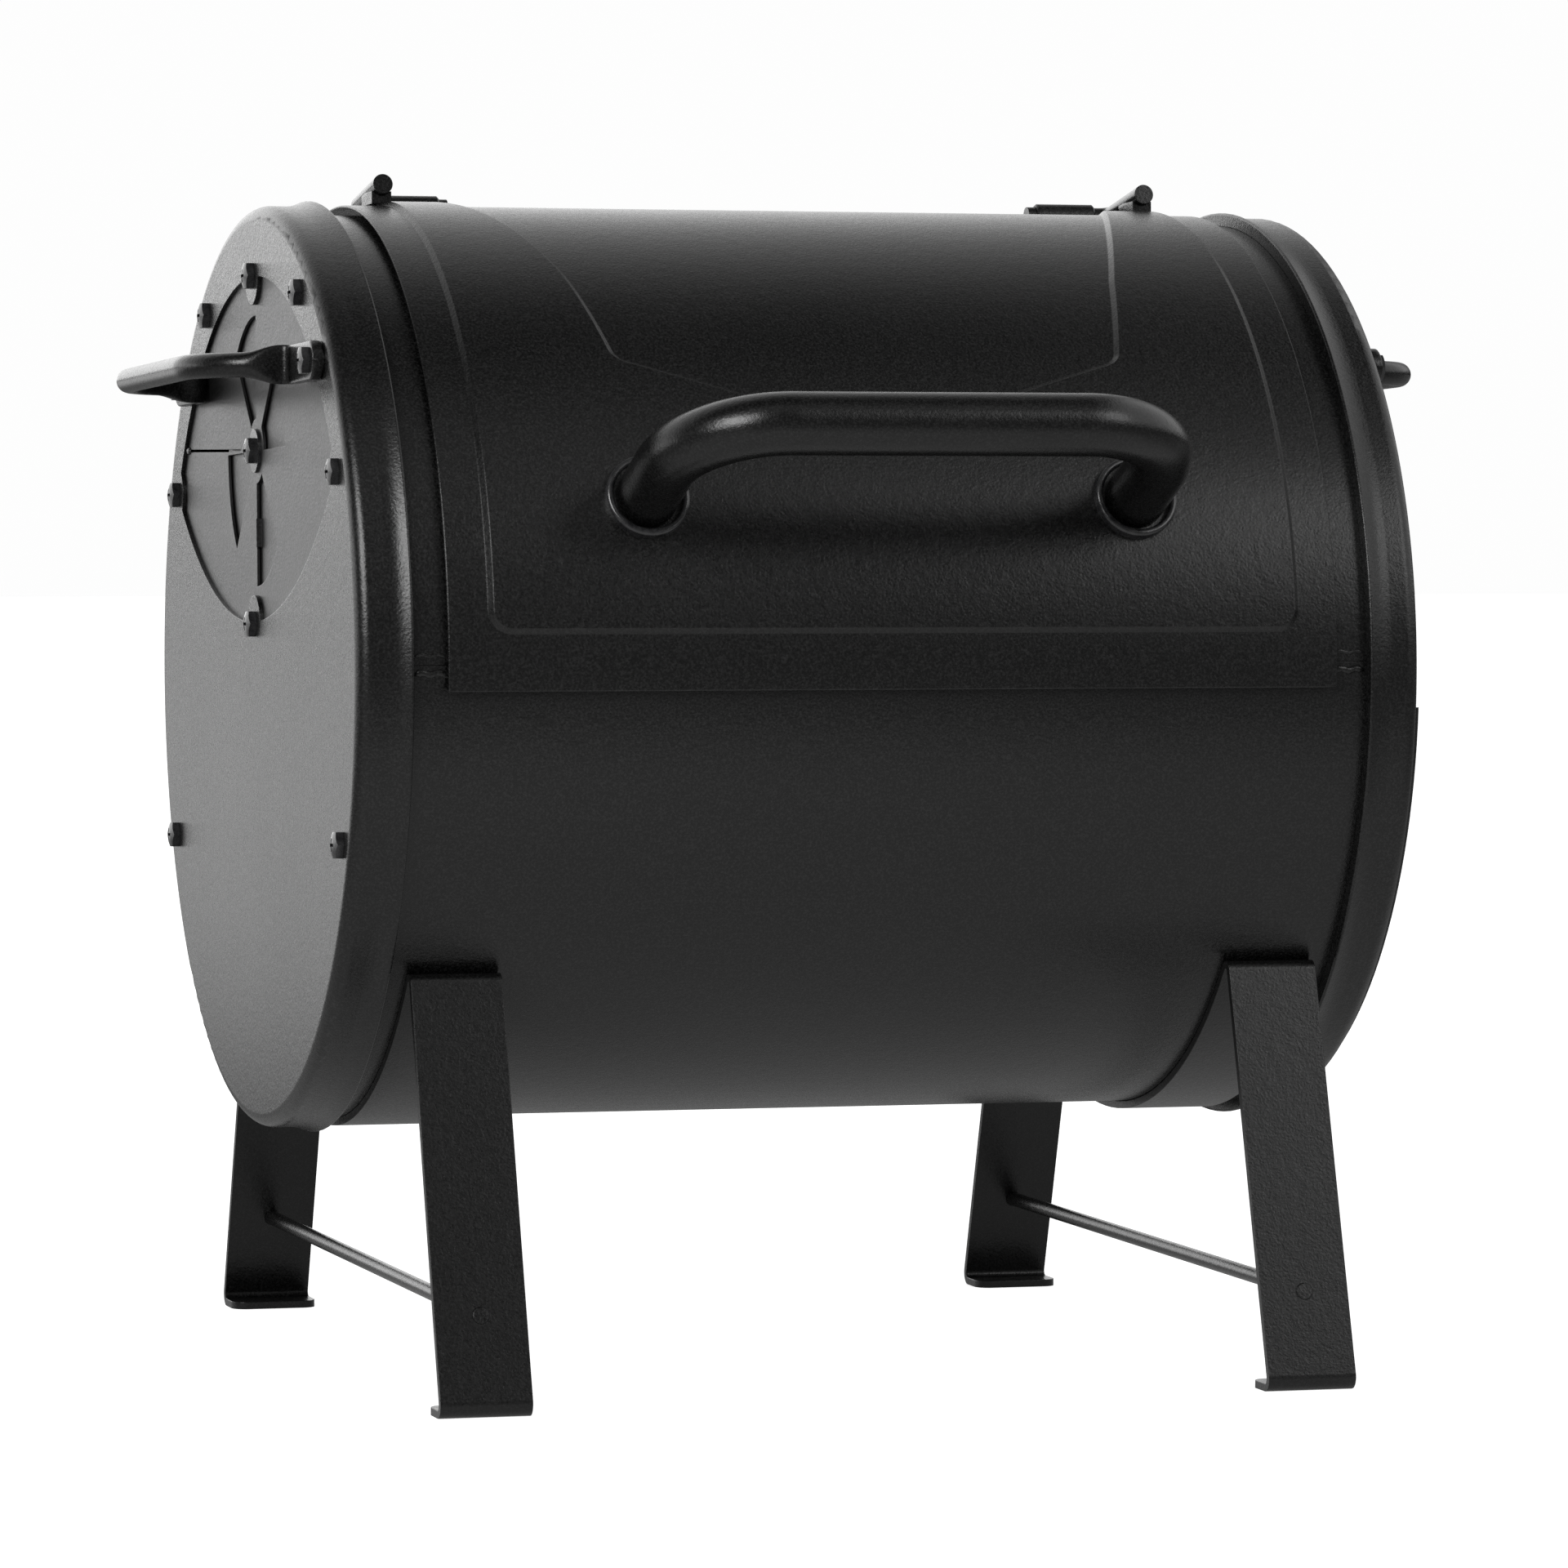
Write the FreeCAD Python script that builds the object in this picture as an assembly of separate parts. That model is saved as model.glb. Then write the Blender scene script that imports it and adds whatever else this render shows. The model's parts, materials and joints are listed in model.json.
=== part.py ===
import FreeCAD, Part
import math
import os

# Barrel charcoal grill. Millimetres. +X runs along the barrel to the right,
# +Y to the back, +Z up. The barrel parts are drawn about the barrel axis and
# then turned and lifted onto the legs.

V = FreeCAD.Vector
ORIGIN = V(0, 0, 0)
ALONG = V(1, 0, 0)

# Stance
drum_turn = 2.2
axis_z = 277.8

# Barrel shell and the fixed bands either side of the hood
drum_r = 180.0
sheet = 1.2
drum_half = 209.0
band_start = 166.0
front_seam = -0.3
rear_seam = 94.0

# End caps
cap_face = 213.0
cap_sheet = 1.6
cap_corner = 5.5
cap_band_r = 183.4
cap_flare_from = 200.8
cap_flare_to = 192.7
cap_flare_r = 17.5
cap_lip_r = 0.9
cap_skirt_r = 180.1

# Lens shaped port in the left cap and its recessed cover
port_upper_r = 172.0
port_upper_z = -16.5
port_lower_r = 225.0
port_lower_z = 243.0
port_ear_r = 11.5
cover_lap = 3.5
cover_ear_r = 14.0
cover_sheet = 1.2
port_bolts = [(0.0, 155.8), (0.0, 17.2), (148.8, 73.0), (-148.8, 73.0)]

# Air vent in the cover
vent_z = 86.2
petal_in = 13.0
petal_out = 54.0
petal_width = 45.0
petal_first = 45.0
disc_r = 60.0
disc_width = 40.0
disc_gap = 0.4
slit_high = 1.1
slit_rise = 2.0
slit_from = 30.0
slit_to = 140.0

# Fasteners
bolt_r = 2.95
hole_r = 3.25
hex_flats = 10.0
head_high = 4.0
dome_r = 13.0
nut_high = 4.8
washer_r = 8.8
cap_bolts_left = [(85.9, 144.5), (-85.9, 144.5), (153.4, -68.7), (-153.4, -68.7)]
cap_bolts_right = [(85.9, 144.5), (-85.9, 144.5), (148.8, 73.0), (-148.8, 73.0)]
bracket_wide = 16.0

# Side handles
bar_r = 4.87
grip_x = 252.9
grip_half = 85.5
grip_z = 116.5
grip_bend = 29.0
foot_bend = 6.0
foot_tall = 15.3
foot_thick = 4.7
foot_reach = 45.5
foot_bolt = 35.5

# Hood
hood_r = 185.0
hood_half = 178.0
hood_low = -3.3
hood_high = 98.3

# Hood handle
tube_r = 12.04
tube_wall = 1.3
tube_plug = 14.0
handle_half = 98.0
handle_root = 19.65
handle_lift = 22.5
handle_off = 69.0
handle_bend = 40.0
collar_out = 16.5
collar_in = 13.5
collar_proud = 4.6

# Hinge
hinge_y = 37.5
hinge_z = 186.0
rod_r = 4.0
rod_x = 160.5
rod_end_x = 124.0
rod_front_y = -6.7
rod_front_z = 192.8
rod_bend = 5.0
knuckle_r = 5.3
knuckle_bore = 4.06
knuckle_in = 127.6
knuckle_out = 152.8

# Legs
strap_in = 147.5
strap_out = 183.5
strap_thick = 3.0
leg_foot_y = 198.0
leg_slope = 0.318
saddle_r = 180.2
saddle_half = 49.5
fold_bend = 3.0
foot_flange = 23.0
flange_bend = 3.5
flange_corner = 6.0
cross_z = 38.0
cross_r = 3.0

# Ash drawer
tray_r = 175.6
tray_x0 = -196.0
tray_edge = 8.5
front_x = 213.3
front_sheet = 1.2
front_r = 177.8
front_top = -19.0
opening_r = 176.4
opening_top = -22.0
rail_r = 175.9
pull_x = 240.0
pull_half = 45.0
pull_z = -60.0

# Grates
coal_z = -94.7
coal_wire = 2.5
coal_half_y = 141.0
coal_ledge_z = -97.5
cook_half_y = 165.0
cook_top = 2.0
cook_low = -9.2
cook_ledge_z = -9.5
cook_end = 188.0


def polar(x, r, a):
    t = math.radians(a)
    return V(x, -r * math.cos(t), r * math.sin(t))


def outline(points):
    return Part.Face(Part.makePolygon(points + points[:1]))


def arc_sheet(r_in, r_out, x0, x1, a0, a1):
    corners = [polar(x0, r_in, a0), polar(x1, r_in, a0), polar(x1, r_out, a0), polar(x0, r_out, a0)]
    return outline(corners).revolve(ORIGIN, V(-1, 0, 0), a1 - a0)


def disc(x0, x1, r, y=0.0, z=0.0):
    return Part.makeCylinder(r, x1 - x0, V(x0, y, z), ALONG)


def block(x0, x1, y0, y1, z0, z1):
    return Part.makeBox(x1 - x0, y1 - y0, z1 - z0, V(x0, y0, z0))


def mirrored(shape):
    return shape.mirror(ORIGIN, ALONG)


def half_turned(shape):
    turned = shape.copy()
    turned.rotate(ORIGIN, V(0, 0, 1), 180)
    return turned


def on_drum(shape, drum_y):
    moved = shape.copy()
    moved.rotate(ORIGIN, ALONG, -drum_turn)
    moved.translate(V(0, drum_y, axis_z))
    return moved


def bent_line(points, bends):
    edges = []
    start = points[0]
    for i, bend in enumerate(bends):
        corner = points[i + 1]
        back = (points[i] - corner).normalize()
        ahead = (points[i + 2] - corner).normalize()
        half = back.getAngle(ahead) / 2
        near = corner + back * (bend / math.tan(half))
        far = corner + ahead * (bend / math.tan(half))
        inner = (back + ahead).normalize()
        middle = corner + inner * (bend / math.sin(half) - bend)
        edges.append(Part.makeLine(start, near))
        edges.append(Part.Arc(near, middle, far).toShape())
        start = far
    edges.append(Part.makeLine(start, points[-1]))
    return edges


def round_bar(points, bends, r):
    spine = Part.Wire(bent_line(points, bends))
    circle = Part.Wire(Part.makeCircle(r, points[0], points[1] - points[0]))
    return spine.makePipeShell([circle], True, False)


def hexagon(x0, x1, y, z):
    r = hex_flats / math.sqrt(3)
    corners = []
    for k in range(6):
        t = math.radians(60 * k)
        corners.append(V(x0, y + r * math.cos(t), z + r * math.sin(t)))
    return outline(corners).extrude(V(x1 - x0, 0, 0))


def screw_head(face, y, z):
    dome = Part.makeSphere(dome_r, V(face + head_high - dome_r, y, z))
    head = hexagon(face, face + head_high, y, z).common(dome)
    top = face + head_high
    slot_a = block(top - 1.6, top + 1, y - 2.6, y + 2.6, z - 0.6, z + 0.6)
    slot_b = block(top - 1.6, top + 1, y - 0.6, y + 0.6, z - 2.6, z + 2.6)
    return head.cut(slot_a).cut(slot_b)


def screw(face, y, z, nut_face):
    shaft = disc(nut_face - nut_high - 2, face + 1, bolt_r, y, z)
    nut = hexagon(nut_face - nut_high, nut_face, y, z)
    return screw_head(face, y, z).fuse([shaft, nut])


def drill(shape, face, places, r=hole_r):
    for y, z in places:
        shape = shape.cut(disc(face - 12, face + 12, r, y, z))
    return shape


def handle_bolts_at():
    return [(grip_half + foot_bolt, grip_z), (-grip_half - foot_bolt, grip_z)]


# Barrel

def drum_shell():
    return arc_sheet(drum_r - sheet, drum_r, -drum_half, drum_half, rear_seam, 360 + front_seam)


def arch_band():
    return arc_sheet(drum_r - sheet, drum_r, band_start, drum_half, front_seam + 0.05, rear_seam - 0.05)


def cap_point(x, r):
    return V(x, 0, r)


def on_ring(x, r, size, degrees):
    t = math.radians(degrees)
    return cap_point(x + size * math.cos(t), r + size * math.sin(t))


def cap_lip():
    rise = math.degrees(math.asin((cap_flare_from - cap_flare_to) / cap_flare_r))
    mid_r = cap_band_r + cap_flare_r
    start = on_ring(cap_flare_from, mid_r, cap_flare_r, -90)
    half = on_ring(cap_flare_from, mid_r, cap_flare_r, -90 - rise / 2)
    top = on_ring(cap_flare_from, mid_r, cap_flare_r, -90 - rise)
    lip = on_ring(top.x, top.z, cap_lip_r, -90 - rise)
    crest = on_ring(lip.x, lip.z, cap_lip_r, 135 - rise / 2)
    end = on_ring(lip.x, lip.z, cap_lip_r, 180)
    foot = cap_point(end.x, cap_skirt_r)
    edges = [Part.Arc(start, half, top).toShape(), Part.Arc(top, crest, end).toShape()]
    return edges + [Part.makeLine(end, foot)], foot


def cap_blank():
    cx = cap_face - cap_corner
    cr = cap_band_r - cap_corner
    k = math.sqrt(0.5)
    inside = cap_corner - cap_sheet
    back = cap_face - cap_sheet
    rim_mid = cap_point(cx + cap_corner * k, cr + cap_corner * k)
    under_mid = cap_point(cx + inside * k, cr + inside * k)
    lip, foot = cap_lip()
    edges = [
        Part.makeLine(cap_point(back, 0), cap_point(cap_face, 0)),
        Part.makeLine(cap_point(cap_face, 0), cap_point(cap_face, cr)),
        Part.Arc(cap_point(cap_face, cr), rim_mid, cap_point(cx, cap_band_r)).toShape(),
        Part.makeLine(cap_point(cx, cap_band_r), cap_point(cap_flare_from, cap_band_r)),
    ]
    edges += lip
    edges += [
        Part.makeLine(foot, cap_point(199.6, cap_skirt_r)),
        Part.makeLine(cap_point(199.6, cap_skirt_r), cap_point(201, cr + inside)),
        Part.makeLine(cap_point(201, cr + inside), cap_point(cx, cr + inside)),
        Part.Arc(cap_point(cx, cr + inside), under_mid, cap_point(back, cr)).toShape(),
        Part.makeLine(cap_point(back, cr), cap_point(back, 0)),
    ]
    return Part.Face(Part.Wire(edges)).revolve(ORIGIN, ALONG, 360)


def lens(x0, x1, grow):
    upper = disc(x0, x1, port_upper_r + grow, 0, port_upper_z)
    lower = disc(x0, x1, port_lower_r + grow, 0, port_lower_z)
    return upper.common(lower)


def end_cap_left():
    port = lens(cap_face - 4, cap_face + 2, 0)
    for y, z in port_bolts:
        port = port.cut(disc(cap_face - 5, cap_face + 3, port_ear_r, y, z))
    cap = cap_blank().cut(port)
    cap = drill(cap, cap_face, port_bolts + cap_bolts_left + handle_bolts_at())
    return mirrored(cap)


def end_cap_right():
    mouth = disc(cap_face - 20, cap_face + 2, opening_r)
    mouth = mouth.common(block(cap_face - 20, cap_face + 2, -200, 200, -200, opening_top))
    return drill(cap_blank().cut(mouth), cap_face, cap_bolts_right + handle_bolts_at())


def sector(x0, x1, r_in, r_out, a0, width):
    t = math.radians(a0)
    across = V(0, math.cos(t), math.sin(t))
    centre = V(x0, 0, vent_z)
    corners = [
        centre + across * r_in,
        centre + across * r_out,
        centre + across * r_out + V(x1 - x0, 0, 0),
        centre + across * r_in + V(x1 - x0, 0, 0),
    ]
    return outline(corners).revolve(V(0, 0, vent_z), ALONG, width)


def port_cover():
    outer = cap_face - cap_sheet
    inner = outer - cover_sheet
    plate = lens(inner, outer, cover_lap)
    for y, z in port_bolts:
        plate = plate.fuse(disc(inner, outer, cover_ear_r, y, z))
    plate = plate.common(disc(inner, outer, 174.9))
    for y, z in handle_bolts_at():
        plate = plate.cut(disc(inner - 1, outer + 1, 7.2, y, z))
    for k in range(4):
        a0 = petal_first + 90 * k
        plate = plate.cut(sector(inner - 1, outer + 1, petal_in, petal_out, a0, petal_width))
    slit = block(inner - 1, outer + 1, slit_from, slit_to, vent_z - slit_high / 2, vent_z + slit_high / 2)
    slit.rotate(V(0, 0, vent_z), ALONG, slit_rise)
    plate = drill(plate.cut(slit), outer, port_bolts + [(0.0, vent_z)])
    return mirrored(plate.removeSplitter())


def port_screws():
    behind = cap_face - cap_sheet - cover_sheet
    return Part.makeCompound([mirrored(screw(cap_face, y, z, behind)) for y, z in port_bolts])


def cap_screws():
    behind = cap_face - cap_sheet - 1.55
    left = [mirrored(screw(cap_face, y, z, behind)) for y, z in cap_bolts_left]
    right = [screw(cap_face, y, z, behind) for y, z in cap_bolts_right]
    return Part.makeCompound(left + right)


def cap_bracket(y, z):
    profile = [(211.35, 164.1), (211.35, 174.5), (208.5, 178.6), (196.0, 178.6),
               (196.0, 177.1), (207.9, 177.1), (209.85, 174.2), (209.85, 164.1)]
    corners = [V(x, -bracket_wide / 2, r) for x, r in profile]
    bracket = outline(corners).extrude(V(0, bracket_wide, 0))
    bracket = bracket.cut(disc(200, 215, hole_r, 0, math.hypot(y, z)))
    bracket.rotate(ORIGIN, ALONG, -math.degrees(math.atan2(y, z)))
    return bracket


def cap_brackets():
    left = [mirrored(cap_bracket(y, z)) for y, z in cap_bolts_left]
    right = [cap_bracket(y, z) for y, z in cap_bolts_right]
    return Part.makeCompound(left + right)


def vent_bolt():
    outer = cap_face - cap_sheet
    washer = disc(outer, outer + 1.2, washer_r, 0, vent_z)
    disc_back = outer - cover_sheet - disc_gap - sheet
    bolt = screw(outer + 1.2, 0, vent_z, disc_back - 0.3)
    return mirrored(bolt.fuse(washer))


def vent_disc():
    outer = cap_face - cap_sheet - cover_sheet - disc_gap
    plate = disc(outer - sheet, outer, disc_r, 0, vent_z)
    plate = plate.cut(disc(outer - 3, outer + 1, bolt_r + 0.07, 0, vent_z))
    for k in range(4):
        a0 = petal_first + petal_width + 2.5 + 90 * k
        plate = plate.cut(sector(outer - 3, outer + 1, petal_in + 1, petal_out - 1, a0, disc_width))
    tab = block(outer - sheet, 212.0, 27, 38.5, vent_z - 0.6, vent_z + 0.6)
    tab.rotate(V(0, 0, vent_z), ALONG, 268)
    return mirrored(plate.fuse(tab))


# Side handles

def oval(x, y, z, wide, tall):
    return Part.Wire(Part.Ellipse(V(x, y, z + tall), V(x + wide, y, z), V(x, y, z)).toShape())


def grip_foot(face, leg_y, z):
    near = leg_y + foot_bend + 0.4
    flat = leg_y + 18.0
    end = leg_y + foot_reach - foot_tall / 2
    neck = Part.makeLoft([
        oval(face + bar_r + 0.35, near, z, bar_r + 0.25, bar_r + 0.4),
        oval(face + foot_thick / 2, flat + 1.2, z, foot_thick / 2 - 0.2, foot_tall / 2 - 0.4),
    ], True, True)
    plate = block(face, face + foot_thick, flat - 1.5, end, z - foot_tall / 2, z + foot_tall / 2)
    tip = disc(face, face + foot_thick, foot_tall / 2, end, z)
    return neck.fuse([plate, tip]).cut(disc(face - 1, face + 9, hole_r, leg_y + foot_bolt, z))


def grip(face, reach, leg_y, z, bend):
    low = face + bar_r
    start = leg_y + 9.5
    points = [V(low, start, z), V(low, leg_y, z), V(reach, leg_y, z)]
    points += [V(reach, -leg_y, z), V(low, -leg_y, z), V(low, -start, z)]
    bar = round_bar(points, [foot_bend, bend, bend, foot_bend], bar_r)
    foot = grip_foot(face, leg_y, z)
    return bar.fuse([foot, foot.mirror(ORIGIN, V(0, 1, 0))]).removeSplitter()


def side_handle_bolts():
    back = cap_face - cap_sheet
    right = [screw(cap_face + foot_thick, y, z, back) for y, z in handle_bolts_at()]
    return Part.makeCompound(right + [mirrored(s) for s in right])


# Hood

def handle_axis(s):
    root = polar(0, hood_r, handle_root)
    t = math.radians(handle_lift)
    return root + V(0, -math.cos(t), math.sin(t)) * s


def hood_shell():
    skin = arc_sheet(hood_r - sheet, hood_r, -hood_half, hood_half, hood_low, hood_high)
    t = math.radians(handle_lift)
    for side in (-1, 1):
        start = handle_axis(-15) + V(side * handle_half, 0, 0)
        skin = skin.cut(Part.makeCylinder(hole_r, 30, start, V(0, -math.cos(t), math.sin(t))))
    return skin


def handle_points(first):
    out = V(handle_half, 0, 0)
    return [handle_axis(first) - out, handle_axis(handle_off) - out,
            handle_axis(handle_off) + out, handle_axis(first) + out]


def hood_handle():
    bends = [handle_bend, handle_bend]
    tube = round_bar(handle_points(1.1), bends, tube_r)
    tube = tube.cut(round_bar(handle_points(tube_plug), bends, tube_r - tube_wall))
    out = handle_axis(1) - handle_axis(0)
    for side in (-1, 1):
        start = handle_axis(0) + V(side * handle_half, 0, 0)
        tube = tube.cut(Part.makeCylinder(bolt_r + 0.02, tube_plug + 1, start, out))
    return tube


def handle_collar(side):
    out = polar(0, 1, handle_root)
    centre = polar(side * handle_half, hood_r, handle_root)
    ring = Part.makeCylinder(collar_out, collar_proud + 2, centre - out * 2, out)
    ring = ring.cut(Part.makeCylinder(collar_in, collar_proud + 4, centre - out * 3, out))
    top = centre + out * collar_proud
    rims = [e for e in ring.Edges if len(e.Vertexes) == 1 and e.Curve.Center.distanceToPoint(top) < 0.01]
    ring = ring.makeFillet(1.4, rims)
    return ring.cut(disc(-hood_half, hood_half, hood_r + 0.02))


def handle_bolts():
    out = handle_axis(1) - handle_axis(0)
    bolts = []
    for side in (-1, 1):
        centre = V(side * handle_half, 0, 0)
        shaft = Part.makeCylinder(bolt_r, tube_plug + 3, handle_axis(-5) + centre, out)
        washer = Part.makeCylinder(8.0, 1.2, handle_axis(-3.2) + centre, out)
        head = Part.makeCylinder(5.4, 3.6, handle_axis(-6.8) + centre, out)
        bolts.append(shaft.fuse([washer, head]).removeSplitter())
    return Part.makeCompound(bolts)


def rod_points():
    return [V(rod_x, rod_front_y, rod_front_z), V(rod_x, hinge_y, hinge_z), V(rod_end_x, hinge_y, hinge_z)]


def hinge_rod():
    return round_bar(rod_points(), [rod_bend], rod_r)


def hinge_rod_post():
    post = block(rod_x - 4, rod_x + 4, -4, 14, hood_r - 2, hood_r + 5)
    post = post.cut(disc(0, hood_half, hood_r + 0.02))
    return post.cut(round_bar(rod_points(), [rod_bend], rod_r + 0.02))


def hinge_knuckle():
    tube = disc(knuckle_in, knuckle_out, knuckle_r, hinge_y, hinge_z)
    rims = [e for e in tube.Edges if e.Curve.TypeId == "Part::GeomCircle"]
    tube = tube.makeChamfer(0.7, rims)
    return tube.cut(disc(knuckle_in - 1, knuckle_out + 1, knuckle_bore, hinge_y, hinge_z))


def hinge_bracket():
    web = block(knuckle_in + 2.5, knuckle_out - 2.5, hinge_y - 3, hinge_y + 4.5, 170, hinge_z)
    foot = block(knuckle_in + 0.6, knuckle_out + 3, hinge_y - 5, hinge_y + 8, 165, 178)
    foot = foot.common(disc(100, 160, drum_r + 1.8))
    plate = web.fuse(foot).cut(disc(100, 160, drum_r + 0.02))
    return plate.cut(disc(100, 160, knuckle_r + 0.02, hinge_y, hinge_z)).removeSplitter()


# Legs, in the ground frame with the barrel axis above the origin

def leg_mid_y(z):
    lean = math.sqrt(1 + leg_slope ** 2)
    return leg_foot_y - strap_thick / 2 * lean - leg_slope * z


def strap_half(x):
    t = math.radians(saddle_half)
    r = saddle_r + strap_thick / 2
    end_y = r * math.sin(t)
    end_z = axis_z - r * math.cos(t)
    run = (leg_mid_y(end_z) - end_y) / (math.cos(t) + leg_slope * math.sin(t))
    fold = V(x, end_y + run * math.cos(t), end_z + run * math.sin(t))
    heel = V(x, leg_mid_y(strap_thick / 2), strap_thick / 2)
    toe = V(x, leg_foot_y - foot_flange, strap_thick / 2)
    return [toe, heel, fold, V(x, end_y, end_z)]


def flipped(points):
    return [V(p.x, -p.y, p.z) for p in points]


def leg_strap():
    x = (strap_in + strap_out) / 2
    rear = strap_half(x)
    front = flipped(rear)
    bottom = V(x, 0, axis_z - saddle_r - strap_thick / 2)
    saddle = Part.Arc(front[3], bottom, rear[3]).toShape()
    edges = bent_line(front, [flange_bend, fold_bend]) + [saddle]
    edges += bent_line(rear[::-1], [fold_bend, flange_bend])
    toe = front[0]
    corners = [V(strap_in, toe.y, 0), V(strap_out, toe.y, 0)]
    corners += [V(strap_out, toe.y, strap_thick), V(strap_in, toe.y, strap_thick)]
    profile = Part.makePolygon(corners + corners[:1])
    strap = Part.Wire(edges).makePipeShell([profile], True, False)
    tips = [e for e in strap.Edges if is_toe_corner(e)]
    strap = strap.makeFillet(flange_corner, tips)
    return strap.cut(Part.makeCylinder(cross_r + 0.02, 500, V(x, -250, cross_z), V(0, 1, 0)))


def is_toe_corner(edge):
    if len(edge.Vertexes) != 2:
        return False
    a = edge.Vertexes[0].Point
    b = edge.Vertexes[1].Point
    at_toe = abs(abs(a.y) - (leg_foot_y - foot_flange)) < 0.01
    upright = abs(a.z - b.z) > strap_thick - 0.1 and abs(a.x - b.x) < 0.01
    return at_toe and upright and max(a.z, b.z) < strap_thick + 0.1


def crossbar():
    x = (strap_in + strap_out) / 2
    face_y = leg_foot_y - leg_slope * cross_z
    out = V(0, 1, leg_slope).normalize()
    start = V(x, face_y, cross_z) - out * 1.4
    end_y = face_y - 1.3
    rod = Part.makeCylinder(cross_r, 2 * end_y, V(x, -end_y, cross_z), V(0, 1, 0))
    weld = Part.makeCone(4.8, 3.0, 1.8, start, out)
    bar = rod.fuse([weld, weld.mirror(ORIGIN, V(0, 1, 0))])
    return bar.cut(leg_strap()).removeSplitter()


# Grates, ledges and the ash drawer

def grate_ledge(side):
    y0 = 157.0
    flat = block(-185, 185, y0, 180, cook_ledge_z - 1.5, cook_ledge_z)
    wall = block(-185, 185, 176.9, 180, cook_ledge_z - 0.5, -2)
    ledge = flat.fuse(wall).common(disc(-185, 185, drum_r - sheet - 0.04)).removeSplitter()
    if side < 0:
        return ledge.mirror(ORIGIN, V(0, 1, 0))
    return ledge


def cooking_grate():
    outer = block(0.5, cook_end, -cook_half_y, cook_half_y, cook_low, cook_top)
    posts = [e for e in outer.Edges if abs(e.Vertexes[0].Z - e.Vertexes[1].Z) > 5]
    outer = outer.makeFillet(8, posts)
    frame = outer.cut(block(9.5, cook_end - 9, 9 - cook_half_y, cook_half_y - 9, cook_low - 1, cook_top + 1))
    bars = []
    pitch = (cook_end - 18.5) / 10
    for k in range(1, 10):
        x = 9.5 + pitch * k
        bars.append(block(x - 2.8, x + 2.8, 5 - cook_half_y, cook_half_y - 5, cook_low + 2, cook_top))
    for y in (-82.0, 0.0, 82.0):
        bars.append(block(5, cook_end - 5, y - 2.5, y + 2.5, cook_low, cook_low + 7))
    return frame.fuse(bars).removeSplitter()


def charcoal_grate():
    rails = []
    for y in (-coal_half_y + 5, -48.0, 48.0, coal_half_y - 5):
        rails.append(Part.makeCylinder(coal_wire, 376, V(-183, y, coal_z), ALONG))
    wires = []
    for k in range(20):
        x = -178 + 19.2 * k
        start = V(x, -coal_half_y, coal_z + 2 * coal_wire - 0.6)
        wires.append(Part.makeCylinder(coal_wire, 2 * coal_half_y, start, V(0, 1, 0)))
    return rails[0].fuse(rails[1:] + wires)


def half_disc(x0, x1, r, top):
    return disc(x0, x1, r).common(block(x0, x1, -r, r, -r, top))


def pull_bolts_at():
    return [(pull_half + foot_bolt, pull_z), (-pull_half - foot_bolt, pull_z)]


def ash_tray():
    wall_top = -tray_r * math.sin(math.radians(tray_edge))
    trough = arc_sheet(tray_r - sheet, tray_r, tray_x0, front_x, -180 + tray_edge, -tray_edge)
    left = half_disc(tray_x0, tray_x0 + sheet, tray_r - 0.5, wall_top)
    right = half_disc(front_x - sheet, front_x, tray_r - 0.5, wall_top)
    return drill(trough.fuse([left, right]).removeSplitter(), front_x, pull_bolts_at())


def ash_drawer_front():
    plate = half_disc(front_x, front_x + front_sheet, front_r, front_top)
    return drill(plate, front_x, pull_bolts_at())


def ash_drawer_screws():
    outer = front_x + front_sheet + foot_thick
    return Part.makeCompound([screw(outer, y, z, front_x - sheet) for y, z in pull_bolts_at()])


def charcoal_grate_ledges():
    inside = disc(-190, 205, tray_r - sheet - 0.02)
    parts = []
    for side in (-1, 1):
        y0 = min(side * 131, side * 160)
        flat = block(-190, 205, y0, y0 + 29, coal_ledge_z - 1.5, coal_ledge_z)
        parts.append(flat.common(inside))
    return Part.makeCompound(parts)


def drawer_rails():
    rails = [arc_sheet(rail_r, drum_r - sheet - 0.02, -190, 204, a - 2, a + 2) for a in (-60, -120)]
    return Part.makeCompound(rails)


def crossbar_left():
    return mirrored(crossbar())


def leg_strap_left():
    return mirrored(leg_strap())


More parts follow.
